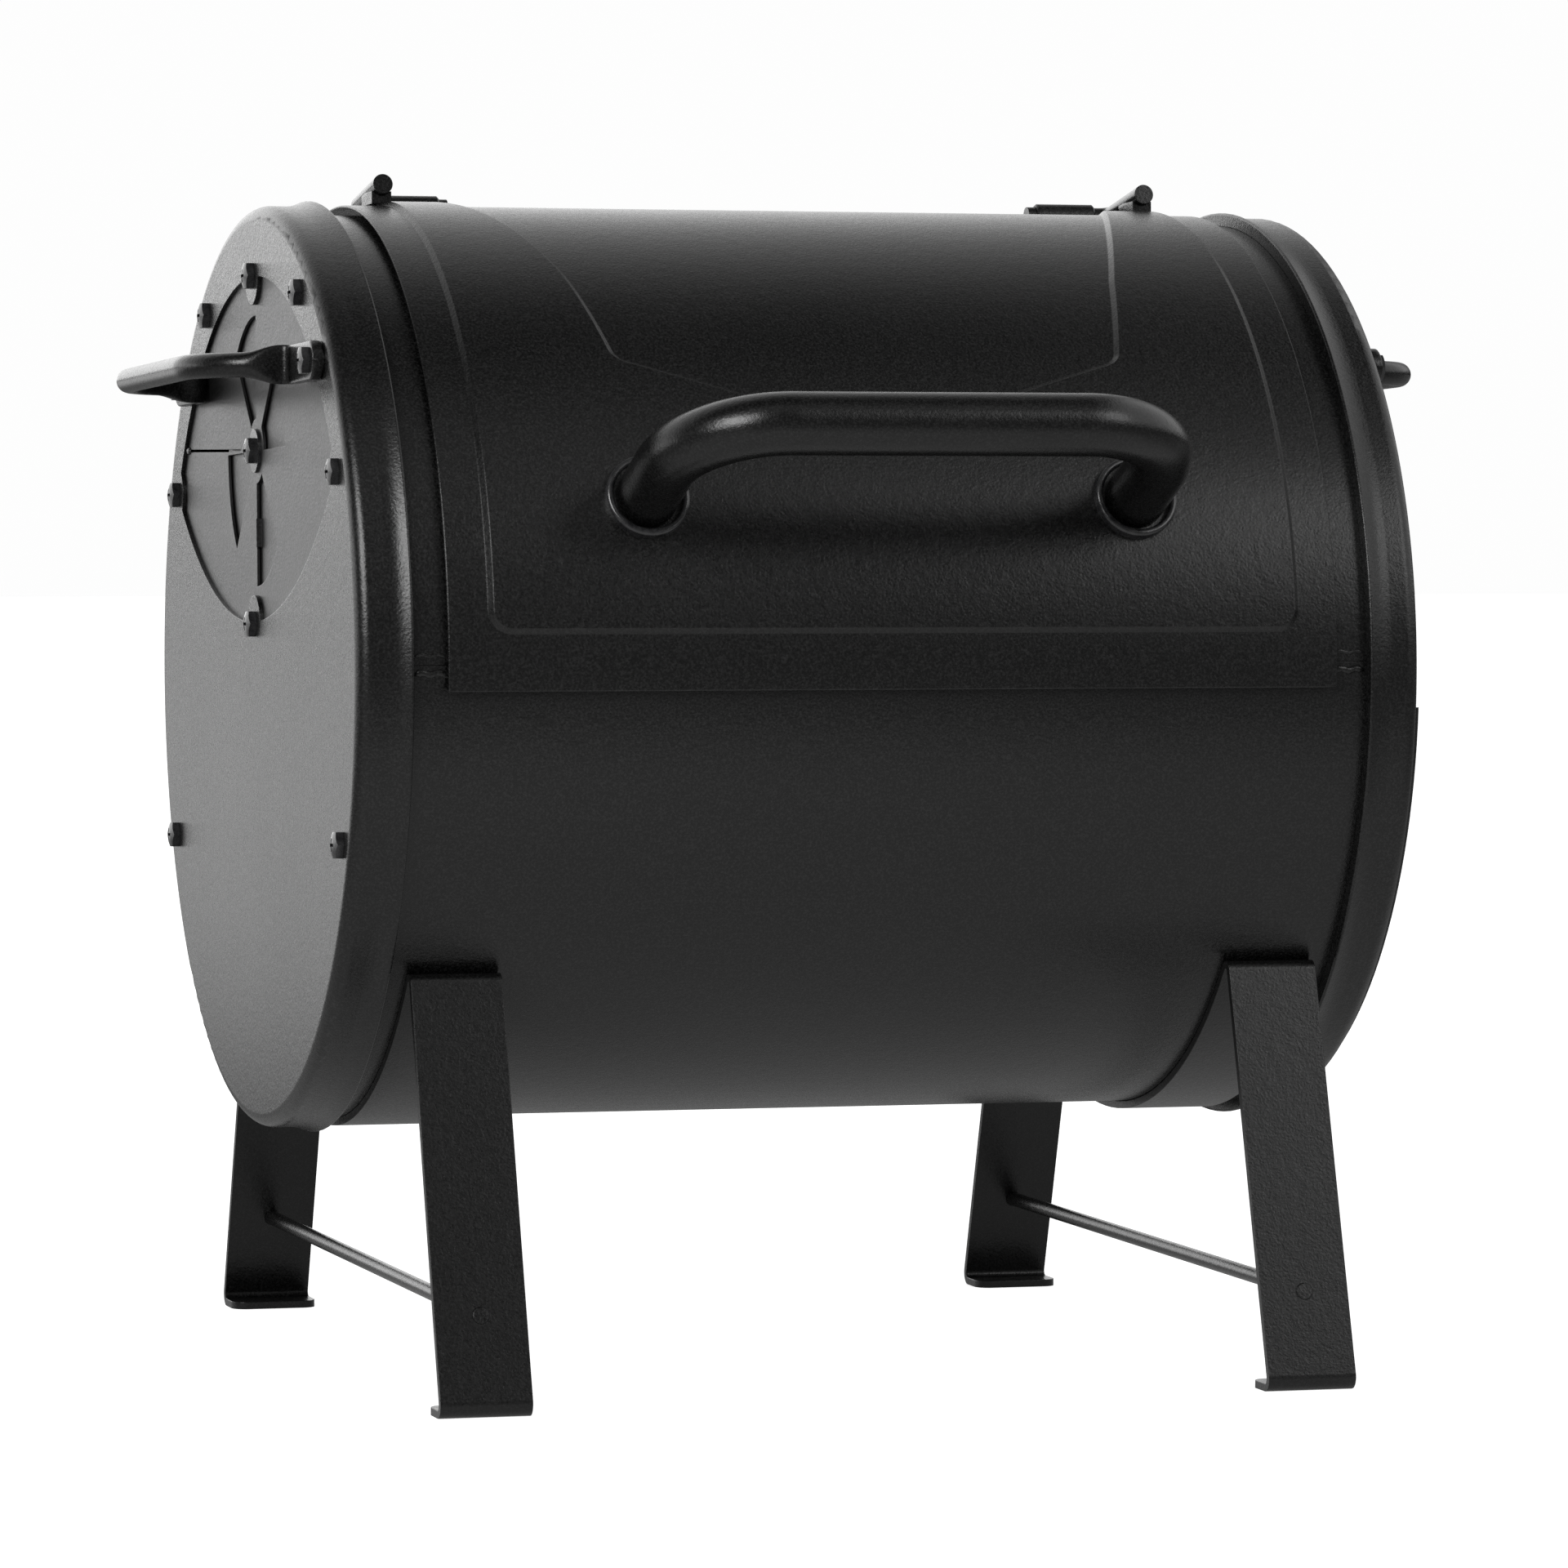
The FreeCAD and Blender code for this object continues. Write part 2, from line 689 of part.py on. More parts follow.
def drum_nodes():
    grip_right = grip(cap_face, grip_x, grip_half, grip_z, grip_bend)
    return {
        "drum_shell": drum_shell(),
        "arch_band_left": mirrored(arch_band()),
        "arch_band_right": arch_band(),
        "end_cap_left": end_cap_left(),
        "end_cap_right": end_cap_right(),
        "port_cover": port_cover(),
        "port_screws": port_screws(),
        "cap_screws": cap_screws(),
        "cap_brackets": cap_brackets(),
        "vent_bolt": vent_bolt(),
        "vent_disc": vent_disc(),
        "side_handle_left": half_turned(grip_right),
        "side_handle_right": grip_right,
        "side_handle_bolts": side_handle_bolts(),
        "hinge_knuckle_left": mirrored(hinge_knuckle()),
        "hinge_knuckle_right": hinge_knuckle(),
        "hinge_bracket_left": mirrored(hinge_bracket()),
        "hinge_bracket_right": hinge_bracket(),
        "hood_shell": hood_shell(),
        "hood_handle": hood_handle(),
        "handle_collar_left": handle_collar(-1),
        "handle_collar_right": handle_collar(1),
        "handle_bolts": handle_bolts(),
        "hinge_rod_left": mirrored(hinge_rod()),
        "hinge_rod_right": hinge_rod(),
        "hinge_rod_posts": Part.makeCompound([hinge_rod_post(), mirrored(hinge_rod_post())]),
        "grate_ledge_front": grate_ledge(-1),
        "grate_ledge_rear": grate_ledge(1),
        "drawer_rails": drawer_rails(),
        "ash_tray": ash_tray(),
        "ash_drawer_front": ash_drawer_front(),
        "ash_drawer_handle": grip(front_x + front_sheet, pull_x, pull_half, pull_z, 12.0),
        "ash_drawer_screws": ash_drawer_screws(),
        "charcoal_grate_ledges": charcoal_grate_ledges(),
        "charcoal_grate": charcoal_grate(),
        "cooking_grate_left": mirrored(cooking_grate()),
        "cooking_grate_right": cooking_grate(),
    }


def ground_nodes():
    return {
        "leg_strap_left": leg_strap_left(),
        "leg_strap_right": leg_strap(),
        "crossbar_left": crossbar_left(),
        "crossbar_right": crossbar(),
    }


def forward_reach():
    t = math.radians(drum_turn)
    nose = handle_axis(handle_off)
    return tube_r - nose.y * math.cos(t) - nose.z * math.sin(t)


def main():
    os.makedirs("parts", exist_ok=True)
    drum_y = (forward_reach() - leg_strap().optimalBoundingBox().YMax) / 2
    for name, shape in drum_nodes().items():
        on_drum(shape, drum_y).exportStep("parts/" + name + ".step")
    for name, shape in ground_nodes().items():
        shape.translate(V(0, drum_y, 0))
        shape.exportStep("parts/" + name + ".step")
    print("drum_y", round(drum_y, 4))


main()
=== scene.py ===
import bpy
import bmesh
import json
import math
from mathutils import Matrix, Vector
from mathutils.geometry import delaunay_2d_cdt

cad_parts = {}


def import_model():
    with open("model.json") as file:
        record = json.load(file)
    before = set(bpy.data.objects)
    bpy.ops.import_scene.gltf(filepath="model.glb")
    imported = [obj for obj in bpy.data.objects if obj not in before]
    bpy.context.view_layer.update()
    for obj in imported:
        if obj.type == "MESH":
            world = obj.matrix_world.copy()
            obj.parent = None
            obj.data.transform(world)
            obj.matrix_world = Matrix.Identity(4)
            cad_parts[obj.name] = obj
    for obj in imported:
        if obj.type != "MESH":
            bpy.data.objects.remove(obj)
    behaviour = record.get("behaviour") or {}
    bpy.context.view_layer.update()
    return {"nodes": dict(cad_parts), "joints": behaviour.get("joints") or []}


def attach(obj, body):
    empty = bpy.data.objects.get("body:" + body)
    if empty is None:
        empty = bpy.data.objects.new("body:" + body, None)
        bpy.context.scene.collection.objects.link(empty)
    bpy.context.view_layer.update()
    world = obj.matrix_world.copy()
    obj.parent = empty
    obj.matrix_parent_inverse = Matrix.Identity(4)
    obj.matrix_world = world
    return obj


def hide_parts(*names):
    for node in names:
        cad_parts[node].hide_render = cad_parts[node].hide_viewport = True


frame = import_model()

# The barrel frame: millimetres about the barrel axis, turned and lifted onto the legs.
TURN = math.radians(2.2)
HINGE_Y, HINGE_Z = 37.5, 186.0
DRUM_R = 180.0


def tilt(y, z):
    """Turn a (y, z) pair from the barrel frame onto the legs."""
    c, s = math.cos(TURN), math.sin(TURN)
    return y * c + z * s, -y * s + z * c


def axis_place():
    """Where the barrel axis crosses X = 0, from the hood's hinge."""
    hinge = next(j for j in frame["joints"] if j["name"] == "hood_hinge")["pos_m"]
    y, z = tilt(HINGE_Y, HINGE_Z)
    return Vector((0, hinge[1] - y / 1000, hinge[2] - z / 1000))


AXIS = axis_place()


def place(x, y, z):
    """A point of the barrel frame, in metres in the row frame."""
    v, w = tilt(y, z)
    return AXIS + Vector((x, v, w)) / 1000


def polar(x, r, a):
    """x along the barrel, r from its axis, a degrees up from the front."""
    t = math.radians(a)
    return place(x, -r * math.cos(t), r * math.sin(t))


def direction(x, y, z):
    """A unit vector of the barrel frame, in the row frame."""
    v, w = tilt(y, z)
    return Vector((x, v, w)).normalized()


# Materials

# Sockets of a Mix node set to RGBA.
COLOUR_A, COLOUR_B, COLOUR_OUT = 6, 7, 2
BEVEL_SAMPLES = 4


class Graph:
    """A small node graph writer for one material."""

    def __init__(self, name):
        self.mat = bpy.data.materials.new(name)
        self.mat.use_nodes = True
        self.tree = self.mat.node_tree
        self.tree.nodes.clear()
        out = self.tree.nodes.new("ShaderNodeOutputMaterial")
        self.shader = self.tree.nodes.new("ShaderNodeBsdfPrincipled")
        self.link(self.shader.outputs["BSDF"], out.inputs["Surface"])
        self.coords = self.tree.nodes.new("ShaderNodeTexCoord").outputs["Object"]

    def link(self, a, b):
        self.tree.links.new(a, b)

    def noise(self, scale, detail, rough=0.5):
        """Noise of about scale cells per metre."""
        n = self.tree.nodes.new("ShaderNodeTexNoise")
        n.inputs["Scale"].default_value = scale
        n.inputs["Detail"].default_value = detail
        n.inputs["Roughness"].default_value = rough
        self.link(self.coords, n.inputs["Vector"])
        return n.outputs["Fac"]

    def spots(self, scale):
        """Distance to the nearest of about scale cells per metre."""
        n = self.tree.nodes.new("ShaderNodeTexVoronoi")
        n.inputs["Scale"].default_value = scale
        self.link(self.coords, n.inputs["Vector"])
        return n.outputs["Distance"]

    def ramp(self, fac, stops):
        """A colour ramp; a stop's value is a grey level or an RGB triple."""
        n = self.tree.nodes.new("ShaderNodeValToRGB")
        while len(n.color_ramp.elements) < len(stops):
            n.color_ramp.elements.new(0.5)
        for element, (at, value) in zip(n.color_ramp.elements, stops):
            element.position = at
            element.color = (*value, 1) if hasattr(value, "__len__") else (value, value, value, 1)
        self.link(fac, n.inputs["Fac"])
        return n.outputs["Color"]

    def mix(self, kind, a, b, fac):
        n = self.tree.nodes.new("ShaderNodeMix")
        n.data_type = "RGBA"
        n.blend_type = kind
        n.inputs["Factor"].default_value = fac
        self.link(a, n.inputs[COLOUR_A])
        self.link(b, n.inputs[COLOUR_B])
        return n.outputs[COLOUR_OUT]

    def bevel(self, radius):
        n = self.tree.nodes.new("ShaderNodeBevel")
        n.samples = BEVEL_SAMPLES
        n.inputs["Radius"].default_value = radius
        return n.outputs["Normal"]

    def bump(self, height, strength, distance, normal=None):
        n = self.tree.nodes.new("ShaderNodeBump")
        n.inputs["Strength"].default_value = strength
        n.inputs["Distance"].default_value = distance
        self.link(height, n.inputs["Height"])
        if normal is not None:
            self.link(normal, n.inputs["Normal"])
        return n.outputs["Normal"]

    def put(self, name, value):
        """Set one of the shader's sockets to a number, an RGB triple or another node's output."""
        socket = self.shader.inputs[name]
        if hasattr(value, "is_output"):
            self.link(value, socket)
        elif hasattr(value, "__len__"):
            socket.default_value = (*value, 1)
        else:
            socket.default_value = value


# Radius in metres by which the shading rounds the edges of coated sheet.
EDGE_ROUND = 0.0005


def powder_coat(name, dark, light, rough, grain=1.0):
    """Satin black powder coat: fine grain, slight orange peel, faint handling marks."""
    g = Graph(name)
    cloud = g.noise(6.0, 4.0, 0.55)
    speck = g.ramp(g.noise(1100.0, 2.0), [(0.44, dark), (0.70, light)])
    tone = g.ramp(cloud, [(0.3, 0.82), (0.7, 1.0)])
    g.put("Base Color", g.mix("MULTIPLY", speck, tone, 1.0))
    fine = g.ramp(g.noise(900.0, 2.0), [(0.25, rough - 0.08), (0.75, rough + 0.08)])
    marks = g.ramp(cloud, [(0.35, rough - 0.03), (0.7, rough + 0.04)])
    g.put("Roughness", g.mix("MIX", fine, marks, 0.4))
    peel = g.bump(g.noise(230.0, 2.0), 0.14 * grain, 0.0006, g.bevel(EDGE_ROUND))
    g.put("Normal", g.bump(g.noise(950.0, 3.0, 0.6), 0.40 * grain, 0.0003, peel))
    g.put("Specular IOR Level", 0.5)
    return g.mat


def gloss_black(name):
    """Glossy black oxide on the screws, with a lighter tone in random patches."""
    g = Graph(name)
    cloud = g.noise(420.0, 3.0)
    g.put("Base Color", g.ramp(cloud, [(0.3, (0.006, 0.006, 0.007)), (0.75, (0.03, 0.03, 0.031))]))
    g.put("Roughness", g.ramp(g.noise(700.0, 2.0), [(0.3, 0.20), (0.7, 0.32)]))
    g.put("Normal", g.bump(g.noise(900.0, 2.0), 0.15, 0.0002, g.bevel(0.0002)))
    g.put("Coat Weight", 0.3)
    g.put("Coat Roughness", 0.16)
    return g.mat


def cast_iron(name):
    """Seasoned cast iron: pebbled sand texture with an oiled sheen."""
    g = Graph(name)
    cloud = g.noise(35.0, 4.0, 0.6)
    g.put("Base Color", g.ramp(cloud, [(0.3, (0.018, 0.017, 0.016)), (0.75, (0.05, 0.047, 0.043))]))
    g.put("Roughness", g.ramp(g.noise(300.0, 3.0), [(0.3, 0.42), (0.7, 0.66)]))
    sand = g.bump(g.noise(520.0, 3.0, 0.6), 0.5, 0.0005, g.bevel(0.001))
    g.put("Normal", g.bump(g.spots(260.0), 0.18, 0.0004, sand))
    g.put("Metallic", 0.3)
    return g.mat


def steel_wire(name):
    """Drawn steel wire, dulled by heat."""
    g = Graph(name)
    cloud = g.noise(28.0, 4.0, 0.6)
    g.put("Base Color", g.ramp(cloud, [(0.3, (0.16, 0.15, 0.14)), (0.7, (0.36, 0.35, 0.34))]))
    g.put("Roughness", g.ramp(g.noise(400.0, 3.0), [(0.3, 0.34), (0.7, 0.55)]))
    g.put("Normal", g.bump(g.noise(800.0, 2.0), 0.2, 0.0002))
    g.put("Metallic", 0.9)
    return g.mat


COAT = powder_coat("satin_black_powder_coat", 0.0015, 0.016, 0.27)
COVER_COAT = powder_coat("port_cover_powder_coat", 0.006, 0.020, 0.36)
LEG_COAT = powder_coat("leg_powder_coat", 0.001, 0.009, 0.30)
TUBE_COAT = powder_coat("handle_powder_coat", 0.0015, 0.013, 0.25, 0.8)
SOOT_COAT = powder_coat("inner_powder_coat", 0.008, 0.017, 0.52, 1.2)
SCREW = gloss_black("glossy_black_screws")
IRON = cast_iron("seasoned_cast_iron")
WIRE = steel_wire("steel_wire")

SPECIAL = {
    "port_cover": COVER_COAT, "vent_disc": COVER_COAT,
    "leg_strap_left": LEG_COAT, "leg_strap_right": LEG_COAT,
    "hood_handle": TUBE_COAT, "side_handle_left": TUBE_COAT, "side_handle_right": TUBE_COAT,
    "ash_drawer_handle": TUBE_COAT, "hinge_rod_left": TUBE_COAT, "hinge_rod_right": TUBE_COAT,
    "ash_tray": SOOT_COAT, "grate_ledge_front": SOOT_COAT, "grate_ledge_rear": SOOT_COAT,
    "drawer_rails": SOOT_COAT, "charcoal_grate_ledges": SOOT_COAT, "cap_brackets": SOOT_COAT,
    "cooking_grate_left": IRON, "cooking_grate_right": IRON, "charcoal_grate": WIRE,
    "handle_collar_left": SCREW, "handle_collar_right": SCREW,
}


def paint_nodes():
    """Give each CAD node its material: screws and bolts by name, the rest from SPECIAL or COAT."""
    for name, node in frame["nodes"].items():
        mat = SPECIAL.get(name, SCREW if name.endswith(("screws", "bolts", "bolt")) else COAT)
        node.data.materials.clear()
        node.data.materials.append(mat)


# Mesh pieces

def new_piece(name, verts, faces, mat, body, normals=None):
    """A smooth mesh that rides on a body, with its own vertex normals where they are given."""
    mesh = bpy.data.meshes.new(name)
    mesh.from_pydata([tuple(v) for v in verts], [], faces)
    mesh.materials.append(mat)
    mesh.validate()
    for p in mesh.polygons:
        p.use_smooth = True
    if normals:
        mesh.normals_split_custom_set_from_vertices([tuple(n) for n in normals])
    obj = bpy.data.objects.new(name, mesh)
    bpy.context.scene.collection.objects.link(obj)
    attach(obj, body)
    return obj


# Hood: a pressed sheet. The field inside the border stands proud of the rim,
# and the shield panel is pressed back level with the rim.

HOOD_R, HOOD_HALF, HOOD_SHEET = 185.0, 177.5, 1.2
HOOD_LOW, HOOD_HIGH = -3.3, 98.3
# Arc length of one degree on the hood, in mm.
ARC = math.radians(1) * HOOD_R

# Corners of the field's right half as (x in mm, degrees up from the front, radius in mm).
# The last four and the tip are the shield's edge.
FIELD_RIGHT = [(161.0, 3.75, 8.0), (161.0, 94.8, 4.5),
               (148.2, 94.8, 4.0), (133.0, 77.6, 60.0), (112.5, 54.5, 60.0), (102.2, 39.2, 9.0)]
SHIELD_TIP = (0.0, 27.7, 14.0)

# The step at the field's edge: (distance inside the edge in mm, slope), and the rows of points across it.
STEP_OUT, STEP_IN = -1.5, 0.8
STEP_SLOPES = ((STEP_OUT, 0.0), (-1.3, 0.88), (0.5, 0.88), (STEP_IN, 0.0))
STEP_ROWS = (STEP_OUT, -1.4, -1.3, -0.9, -0.4, 0.0, 0.3, 0.5, 0.65, STEP_IN)
# The share of the step's height by which the rim lies below the plain CAD hood.
RIM_DROP = 0.55

# The mesh: the grid of points over the hood and its clear gap beside the step, the spacing and the turn
# between points of the outline, the two tolerances, and the steps round the sheet's edge. In mm and degrees.
GRID_COLS, GRID_ROWS, GRID_GAP = 60, 66, 1.2
LOOP_SPACING, LOOP_DEGREES = 3.0, 9
MERGE_DISTANCE, ON_EDGE = 1e-4, 0.01
EDGE_STEPS = 6


def rounded_loop(corners):
    """Points and inward normals along a closed counter-clockwise loop of (u, v, radius) corners."""
    loop = []
    n = len(corners)
    for i, (x, y, r) in enumerate(corners):
        here = Vector((x, y))
        back = (Vector(corners[i - 1][:2]) - here).normalized()
        ahead = (Vector(corners[(i + 1) % n][:2]) - here).normalized()
        half = back.angle(ahead) / 2
        start = here + back * (r / math.tan(half))
        end = here + ahead * (r / math.tan(half))
        centre = here + (back + ahead).normalized() * (r / math.sin(half))
        convex = back.x * ahead.y - back.y * ahead.x < 0
        sweep = math.pi - 2 * half
        steps = max(3, int(math.degrees(sweep) / LOOP_DEGREES))
        a, b = start - centre, end - centre
        for k in range(steps + 1):
            t = k / steps
            p = centre + (a * math.sin((1 - t) * sweep) + b * math.sin(t * sweep)) / math.sin(sweep)
            inward = (centre - p).normalized() * (1 if convex else -1)
            loop.append((p, inward))
    return subdivided(loop)


def subdivided(loop):
    """The same loop with points added along its straight runs."""
    full = []
    for i, (p, m) in enumerate(loop):
        q, k = loop[(i + 1) % len(loop)]
        full.append((p, m))
        pieces = int((q - p).length / LOOP_SPACING)
        for j in range(1, pieces):
            full.append((p.lerp(q, j / pieces), m.lerp(k, j / pieces).normalized()))
    return full


def field_loop():
    """The raised field's outline in (x, arc length from the front), both in mm."""
    left = [(-x, a, r) for x, a, r in FIELD_RIGHT[::-1]]
    corners = [left.pop()] + FIELD_RIGHT + [SHIELD_TIP] + left
    return rounded_loop([(x, a * ARC, r) for x, a, r in corners])


def step_height(d):
    """Height and slope at d inside the field's edge: a straight rise with eased ends."""
    height = 0.0
    for (d0, s0), (d1, s1) in zip(STEP_SLOPES, STEP_SLOPES[1:]):
        if d <= d0:
            break
        end = min(d, d1)
        slope = s0 + (s1 - s0) * (end - d0) / (d1 - d0)
        height += (s0 + slope) / 2 * (end - d0)
        if d <= d1:
            return height, slope
    return height, 0.0


STEP = step_height(STEP_IN)[0]


def inside(p, loop):
    """True where p lies inside the loop, by counting the edges to its right."""
    hit = False
    for i in range(len(loop)):
        a, b = loop[i][0], loop[i - 1][0]
        if (a.y > p.y) != (b.y > p.y) and p.x < (b.x - a.x) * (p.y - a.y) / (b.y - a.y) + a.x:
            hit = not hit
    return hit


def hood_points():
    """Flat points of the hood, each one's height and slope, and the loop edges between them."""
    loop = field_loop()
    points, tilts, edges = [], [], []
    for d in STEP_ROWS:
        first = len(points)
        h, slope = step_height(d)
        for p, m in loop:
            points.append(p + m * d)
            tilts.append((h, m * slope))
        count = len(points) - first
        edges += [(first + i, first + (i + 1) % count) for i in range(count)]
    v0, v1 = HOOD_LOW * ARC, HOOD_HIGH * ARC
    for i in range(GRID_COLS + 1):
        for j in range(GRID_ROWS + 1):
            u = -HOOD_HALF + 2 * HOOD_HALF * i / GRID_COLS
            p = Vector((u, v0 + (v1 - v0) * j / GRID_ROWS))
            near = min((p - q).length for q, _ in loop)
            if near > GRID_GAP - STEP_OUT:
                points.append(p)
                tilts.append((STEP if inside(p, loop) else 0.0, Vector((0, 0))))
    return points, tilts, edges


def open_edges(faces):
    """The directed edges that only one face uses."""
    rim = {}
    for f in faces:
        for a, b in zip(f, f[1:] + f[:1]):
            key = (min(a, b), max(a, b))
            rim[key] = None if key in rim else (a, b)
    return [pair for pair in rim.values() if pair]


def hood_piece():
    """The hood's outer and inner skins, in place of the plain CAD hood."""
    points, tilts, edges = hood_points()
    low = HOOD_R - RIM_DROP * STEP
    result = delaunay_2d_cdt(points, edges, [], 0, MERGE_DISTANCE)
    flat, faces, origins = result[0], result[2], result[3]
    verts, normals = [], []
    for p, origin in zip(flat, origins):
        h, slope = tilts[origin[0]] if origin else (0.0, Vector((0, 0)))
        a = math.radians(p.y / ARC)
        out = Vector((0, -math.cos(a), math.sin(a)))
        along = Vector((0, math.sin(a), math.cos(a)))
        n = out - Vector((1, 0, 0)) * slope.x - along * slope.y
        verts.append(polar(p.x, low + h, p.y / ARC))
        normals.append(direction(n.x, n.y, n.z))
    count = len(verts)
    for p, origin in zip(flat, origins):
        h = tilts[origin[0]][0] if origin else 0.0
        verts.append(polar(p.x, low + h - HOOD_SHEET, p.y / ARC))
        normals.append(-normals[len(verts) - 1 - count])
    skins = [list(f) for f in faces] + [[i + count for i in reversed(f)] for f in faces]
    skin = new_piece("hood_pressed_shell", verts, skins, COAT, "hood", normals)
    hood_edge(open_edges(faces), flat, verts, count)
    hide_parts("hood_shell")


def hood_edge(pairs, flat, verts, count):
    """The rounded edge of the hood's sheet, joining its outer and inner skins."""
    rows, points, normals, faces = {}, [], [], []
    for i in sorted({i for pair in pairs for i in pair}):
        u, v = flat[i]
        side = (u > HOOD_HALF - ON_EDGE) - (u < ON_EDGE - HOOD_HALF)
        end = (v > HOOD_HIGH * ARC - ON_EDGE) - (v < HOOD_LOW * ARC + ON_EDGE)
        a = math.radians(v / ARC)
        away = direction(side, end * math.sin(a), end * math.cos(a))
        out = (verts[i] - verts[i + count]).normalized()
        middle = (verts[i] + verts[i + count]) / 2
        half = (verts[i] - verts[i + count]).length / 2
        rows[i] = len(points)
        for k in range(EDGE_STEPS + 1):
            t = math.pi * k / EDGE_STEPS
            n = out * math.cos(t) + away * math.sin(t)
            points.append(middle + n * half)
            normals.append(n)
    for a, b in pairs:
        for k in range(EDGE_STEPS):
            faces.append([rows[b] + k, rows[a] + k, rows[a] + k + 1, rows[b] + k + 1])
    new_piece("hood_sheet_edge", points, faces, COAT, "hood", normals)


# Side handles and drawer pull: a round bar bowed out from two forged flat feet.
# A section's edge is a superellipse: power 2 is round, and a higher power is squarer.

BAR_R = 4.87
FOOT_BEND, FOOT_THICK, FOOT_TALL, FOOT_REACH = 5.0, 4.7, 15.3, 45.5
NECK = 15.0
ROUND_POWER, FLAT_POWER = 2.0, 7.0
STRAIGHT_STEPS, BOW_STEPS, BEND_STEPS, FOOT_STEPS = 9, 30, 10, 8
TIP_DEGREES = (12, 24, 36, 48, 58, 67, 75, 82, 88)
RING = 32

# Piece, CAD node, body, side, and in mm the bolted plane, the bar's reach, the legs' y and the height.
GRIPS = (
    ("side_grip_left", "side_handle_left", "barrel", -1, 213.0, 251.6, 85.5, 116.5),
    ("side_grip_right", "side_handle_right", "barrel", 1, 213.0, 251.6, 85.5, 116.5),
    ("drawer_pull", "ash_drawer_handle", "drawer", 1, 214.5, 240.0, 45.0, -60.0),
)


def grip_stations(face, reach, leg_y):
    """Sections from the middle of the bar to one foot: x, y, in-plane normal, half sizes, power.

    The bar is bolted to the plane at face, bows out to reach, and has its legs at plus and minus leg_y.
    """
    foot_x = face + FOOT_THICK / 2
    bend = reach - foot_x - FOOT_BEND
    out = []

    def add(x, y, nx, ny, flat=0.0):
        e = flat * flat * (3 - 2 * flat)
        thick = BAR_R + (FOOT_THICK / 2 - BAR_R) * e
        tall = BAR_R + (FOOT_TALL / 2 - BAR_R) * e
        power = ROUND_POWER + (FLAT_POWER - ROUND_POWER) * e * e
        out.append((x, y, nx, ny, thick, tall, power))

    for k in range(STRAIGHT_STEPS):
        add(reach, (leg_y - bend) * k / STRAIGHT_STEPS, 1, 0)
    for k in range(BOW_STEPS + 1):
        t = math.radians(90 * k / BOW_STEPS)
        c, s = math.cos(t), math.sin(t)
        left = bend * (math.pi / 2 - t)
        add(reach - bend + bend * c, leg_y - bend + bend * s, c, s, max(0.0, 1 - left / NECK))
    for k in range(1, BEND_STEPS + 1):
        t = math.radians(90 * k / BEND_STEPS)
        c, s = math.cos(t), math.sin(t)
        add(foot_x + FOOT_BEND * (1 - s), leg_y + FOOT_BEND * (1 - c), s, c, 1.0)
    middle = leg_y + FOOT_REACH - FOOT_TALL / 2
    start = leg_y + FOOT_BEND
    for k in range(1, FOOT_STEPS + 1):
        add(foot_x, start + (middle - start) * k / FOOT_STEPS, 1, 0, 1.0)
    for t in TIP_DEGREES:
        c, s = math.cos(math.radians(t)), math.sin(math.radians(t))
        tip = middle + FOOT_TALL / 2 * s
        out.append((foot_x, tip, 1, 0, FOOT_THICK / 2, FOOT_TALL / 2 * c, FLAT_POWER))
    return out


def grip_piece(name, node, body, side, face, reach, leg_y, z):
    """One handle, in place of its CAD node."""
    half = grip_stations(face, reach, leg_y)
    rows = [(x, -y, nx, -ny, a, b, p) for x, y, nx, ny, a, b, p in half[:0:-1]] + half
    verts = []
    for x, y, nx, ny, thick, tall, power in rows:
        for k in range(RING):
            c, s = math.cos(2 * math.pi * k / RING), math.sin(2 * math.pi * k / RING)
            u = math.copysign(abs(c) ** (2 / power), c) * thick
            w = math.copysign(abs(s) ** (2 / power), s) * tall
            verts.append(place(side * (x + nx * u), y + ny * u, z + w))
    faces = []
    for i in range(len(rows) - 1):
        for k in range(RING):
            a, b = i * RING + k, i * RING + (k + 1) % RING
            faces.append([a, b, b + RING, a + RING])
    faces.append(list(range(RING)))
    faces.append([(len(rows) - 1) * RING + k for k in range(RING)])
    if side < 0:
        faces = [f[::-1] for f in faces]
    piece = new_piece(name, verts, faces, TUBE_COAT, body)
    bm = bmesh.new()
    bm.from_mesh(piece.data)
    bmesh.ops.recalc_face_normals(bm, faces=bm.faces)
    bm.to_mesh(piece.data)
    bm.free()
    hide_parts(node)


def grips():
    for grip in GRIPS:
        grip_piece(*grip)


# Weld beads

BEAD_RING = 9
# A bead's height as a share of its half width, and how deep its edges lie in the surface, in metres.
BEAD_FLAT, BEAD_SUNK = 0.62, 0.00005
# Its half width at the tip, and the growth per step up to full width.
BEAD_TIP, BEAD_GROWTH = 0.35, 0.4

# The seam welds' start and length along x in mm, and the sway of their path in degrees.
WELD_START, WELD_LENGTH, WELD_STEPS, WELD_SWAY = 166.5, 24.0, 26, 0.12
# Degrees up from the front, half width in mm, and tag.
SEAM_WELDS = ((-1.3, 1.3, "low"), (0.9, 0.7, "high"))

# The tack weld's start and its step from point to point, in mm, and its half width in metres.
TACK_FROM, TACK_STEP, TACK_POINTS = (-211.5, 128.0, 90.6), (0.0, 0.7, 0.05), 8
TACK_R = 0.0016


